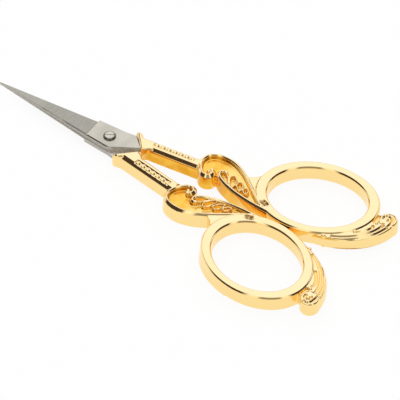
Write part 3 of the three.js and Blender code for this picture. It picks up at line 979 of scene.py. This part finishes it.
# the heel is where the ground wedge ends, in millimetres from the pivot
steelLook = {
    # ground and groundLight are the wedge's own grinding-line finish, on a tone made darker than the flat
    # as painted shade for its tilt
    "ground": (0.38, 0.365, 0.32, 1), "groundLight": (0.47, 0.455, 0.405, 1), "lineSpan": (0.3, 0.7),
    "flat": (0.53, 0.5, 0.435, 1), "flatLight": (0.61, 0.575, 0.505, 1), "cloudSpan": (0.35, 0.65),
    "heel": -5.6, "heelLean": 0.076, "heelSoft": 0.00004,
    # side is painted light: the blades' walls, picked by their normal, are made paler and less metallic
    # than the faces
    "side": (0.6, 0.57, 0.51, 1), "paleSideMetal": 0.35, "paleSideSpan": (0.2, 0.5),
    # eased is a painted dark reflection on the tilted edge faces near the heel
    "eased": (0.2, 0.19, 0.165, 1), "edgeShadeRise": (0.5, 0.6), "edgeShadeFall": (0.88, 0.95),
    "edgeShadeReach": (0.0065, 0.0095),
    # inside is painted light: the blades' inner faces are made paler where they lie in the upper blade's
    # shade
    "inside": (0.8, 0.77, 0.72, 1), "insideLitSpan": (0.00005, 0.00012),
    "roughness": 0.24, "lineRoughness": 0.1, "sideRoughness": 0.25, "bump": (0.15, 0.00002),
}


def groundSteel():
    material, tree, shader = newMaterial("groundSteel")
    coords = addNode(tree, "ShaderNodeTexCoord")
    lines = useGroup(tree, grinding, coords.outputs["Object"])
    place = splitAxes(tree, coords.outputs["Object"])
    upward = calc(tree, "ABSOLUTE", splitAxes(tree, coords.outputs["Normal"])["Z"])
    lean = times(tree, place["Y"], steelLook["heelLean"])
    heel = pivotPlace.x + steelLook["heel"] * mm
    ahead = calc(tree, "SUBTRACT", heel, calc(tree, "ADD", place["X"], lean))
    ground = ramp(tree, ahead, -steelLook["heelSoft"], steelLook["heelSoft"])
    streak = ramp(tree, lines["Lines"], *steelLook["lineSpan"])
    # the wedge's own grinding lines, on a tone made darker than the flat as painted shade
    wedge = blend(tree, streak, steelLook["ground"], steelLook["groundLight"])
    cloudy = ramp(tree, lines["Clouds"], *steelLook["cloudSpan"])
    even = blend(tree, cloudy, steelLook["flat"], steelLook["flatLight"])
    # painted light: walls picked by their normal get a paler, less metallic tone, and rougher
    sides = ramp(tree, upward, *steelLook["paleSideSpan"], 1, 0)
    outside = blend(tree, sides, blend(tree, ground, even, wedge), steelLook["side"])
    # painted dark reflection: edge faces of middle tilt near the heel are darkened
    rise = ramp(tree, upward, *steelLook["edgeShadeRise"])
    fall = ramp(tree, upward, *steelLook["edgeShadeFall"], 1, 0)
    nearHeel = times(tree, ground, ramp(tree, ahead, *steelLook["edgeShadeReach"], 1, 0))
    eased = times(tree, times(tree, rise, fall), nearHeel)
    outside = blend(tree, eased, outside, steelLook["eased"])
    # painted light: faces near the mid-plane, the blades' inner faces, are made paler
    depth = calc(tree, "ABSOLUTE", calc(tree, "SUBTRACT", place["Z"], pivotPlace.z))
    outward = ramp(tree, depth, *steelLook["insideLitSpan"])
    feed(tree, shader.inputs["Base Color"], blend(tree, outward, steelLook["inside"], outside))
    lineDull = times(tree, streak, steelLook["lineRoughness"])
    sideDull = times(tree, sides, steelLook["sideRoughness"])
    dull = calc(tree, "ADD", lineDull, sideDull)
    feed(tree, shader.inputs["Roughness"], calc(tree, "ADD", steelLook["roughness"], dull))
    feed(tree, shader.inputs["Metallic"], ramp(tree, sides, 0, 1, 1, steelLook["paleSideMetal"]))
    addBump(tree, shader, lines["Lines"], *steelLook["bump"])
    return material


screwLook = {
    "tone": (0.48, 0.455, 0.4, 1), "toneLight": (0.62, 0.59, 0.53, 1), "toneSpan": (0.3, 0.7),
    # rim is a painted dark reflection: the head's outer ring is darkened all round
    "rim": (0.2, 0.18, 0.15, 1), "rimShadeSpan": (0.00112, 0.00138), "roughness": (0.12, 0.24),
}


def polishedSteel():
    material, tree, shader = newMaterial("polishedSteel")
    coords = addNode(tree, "ShaderNodeTexCoord")
    uneven = useGroup(tree, unevenness, coords.outputs["Object"])
    offset = addNode(tree, "ShaderNodeVectorMath", operation="SUBTRACT")
    tree.links.new(coords.outputs["Object"], offset.inputs[0])
    offset.inputs[1].default_value = pivotPlace
    radius = addNode(tree, "ShaderNodeVectorMath", operation="LENGTH")
    tree.links.new(stretched(tree, offset.outputs[0], (1, 1, 0)), radius.inputs[0])
    # painted dark reflection: darker towards the rim of the screw head
    rim = ramp(tree, radius.outputs["Value"], *screwLook["rimShadeSpan"])
    cloudy = ramp(tree, uneven["Tone"], *screwLook["toneSpan"])
    bright = blend(tree, cloudy, screwLook["tone"], screwLook["toneLight"])
    feed(tree, shader.inputs["Base Color"], blend(tree, rim, bright, screwLook["rim"]))
    feed(tree, shader.inputs["Roughness"], ramp(tree, uneven["Dulling"], 0, 1, *screwLook["roughness"]))
    shader.inputs["Metallic"].default_value = 1
    return material


gold = polishedGold()
steel = groundSteel()
screwSteel = polishedSteel()
pieceTable = (
    (handleTop, "upper_half", "handle_upper", "gold_plate", gold),
    (handleUnder, "lower_half", "handle_lower", "gold_plate", gold),
    (bladeTop, "upper_half", "blade_upper", "blade_steel", steel),
    (bladeUnder, "lower_half", "blade_lower", "blade_steel", steel),
    (screwPiece, "lower_half", "pivot_screw", "screw_steel", screwSteel),
)
for piece, body, node, slotName, material in pieceTable:
    piece.data.materials.clear()
    piece.data.materials.append(material)
    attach(piece, body)
    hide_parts(node)
print("finishes assigned")


# studio: a white dome over a dim band with two bright gaps, a white floor and the photo's camera

white = (1, 1, 1, 1)
black = (0, 0, 0, 1)

# the dim band's low and high are heights in the sky, its turn and gap are cosines from the camera's side
studio = {
    "azimuthDeg": 36.53, "elevationDeg": 44.64, "distance": 1.1454,
    "lens": 403.8, "sensor": 36, "clip": (0.01, 20),
    "targetFromPivot": (0.033334, -0.00564, 0.00217),
    "sky": (0.2, 0.65, 0.95, 1.12), "dimTone": (0.065, 0.045, 0.04, 1),
    "dimLow": (0.14, 0.28), "dimHigh": (0.33, 0.84), "dimTurn": (-1, 0.5), "dimSoft": 0.04,
    "gap": (0.6, 0.77, 0.88, 0.96), "middleDim": 0.75,
    "floorSize": 4, "floorDrop": 0.0001, "floorRoughness": 0.9,
    "floorTone": (0.9, 0.9, 0.9, 1), "floorSeen": (0.12, 0.12, 0.12, 1), "floorGlow": 0.9,
}
azimuth = math.radians(studio["azimuthDeg"])
elevation = math.radians(studio["elevationDeg"])
cameraSide = Vector((math.sin(azimuth), -math.cos(azimuth), 0))


def makeWorld():
    world = bpy.data.worlds.new("studio")
    bpy.context.scene.world = world
    world.use_nodes = True
    tree = world.node_tree
    tree.nodes.clear()
    coords = addNode(tree, "ShaderNodeTexCoord")
    level = stretched(tree, coords.outputs["Generated"], (1, 1, 0))
    unit = addNode(tree, "ShaderNodeVectorMath", operation="NORMALIZE")
    tree.links.new(level, unit.inputs[0])
    toward = addNode(tree, "ShaderNodeVectorMath", operation="DOT_PRODUCT")
    tree.links.new(unit.outputs[0], toward.inputs[0])
    toward.inputs[1].default_value = cameraSide
    facing = toward.outputs["Value"]
    height = splitAxes(tree, coords.outputs["Generated"])["Z"]
    soft = studio["dimSoft"]
    over = calc(tree, "SUBTRACT", height, ramp(tree, facing, *studio["dimTurn"], *studio["dimHigh"]))
    band = times(tree, ramp(tree, height, *studio["dimLow"]), ramp(tree, over, -soft, soft, 1, 0))
    gapStart, gapFull, gapFade, gapEnd = studio["gap"]
    opening = ramp(tree, facing, gapStart, gapFull)
    gap = times(tree, opening, ramp(tree, facing, gapFade, gapEnd, 1, 0))
    dim = times(tree, band, calc(tree, "SUBTRACT", 1, gap))
    dim = times(tree, dim, ramp(tree, facing, gapFade, gapEnd, 1, studio["middleDim"]))
    lit = addNode(tree, "ShaderNodeBackground")
    sky = ramp(tree, height, *studio["sky"])
    feed(tree, lit.inputs["Color"], blend(tree, dim, sky, studio["dimTone"]))
    plain = addNode(tree, "ShaderNodeBackground")
    plain.inputs["Color"].default_value = white
    path = addNode(tree, "ShaderNodeLightPath")
    pick = addNode(tree, "ShaderNodeMixShader")
    out = addNode(tree, "ShaderNodeOutputWorld")
    tree.links.new(path.outputs["Is Camera Ray"], pick.inputs["Fac"])
    tree.links.new(lit.outputs[0], pick.inputs[1])
    tree.links.new(plain.outputs[0], pick.inputs[2])
    tree.links.new(pick.outputs[0], out.inputs["Surface"])


def makeFloor():
    bpy.ops.object.select_all(action="DESELECT")
    bpy.ops.mesh.primitive_plane_add(size=studio["floorSize"], location=(0, 0, -studio["floorDrop"]))
    floor = bpy.context.object
    floor.name = "floor"
    material, tree, shader = newMaterial("paleFloor")
    path = addNode(tree, "ShaderNodeLightPath")
    seen = calc(tree, "MAXIMUM", path.outputs["Is Camera Ray"], path.outputs["Is Glossy Ray"])
    feed(tree, shader.inputs["Base Color"], blend(tree, seen, studio["floorTone"], studio["floorSeen"]))
    feed(tree, shader.inputs["Emission Color"], blend(tree, seen, black, white))
    shader.inputs["Roughness"].default_value = studio["floorRoughness"]
    shader.inputs["Specular IOR Level"].default_value = 0
    shader.inputs["Emission Strength"].default_value = studio["floorGlow"]
    floor.data.materials.append(material)


def makeCamera():
    data = bpy.data.cameras.new("camera")
    data.lens = studio["lens"]
    data.sensor_width = studio["sensor"]
    data.clip_start, data.clip_end = studio["clip"]
    cameraObject = bpy.data.objects.new("camera", data)
    bpy.context.collection.objects.link(cameraObject)
    back = cameraSide * math.cos(elevation) + Vector((0, 0, math.sin(elevation)))
    cameraObject.location = pivotPlace + Vector(studio["targetFromPivot"]) + back * studio["distance"]
    cameraObject.rotation_euler = back.to_track_quat("Z", "Y").to_euler()
    bpy.context.scene.camera = cameraObject


makeWorld()
makeFloor()
makeCamera()
bpy.context.scene.view_settings.view_transform = "Standard"
print("studio ready")
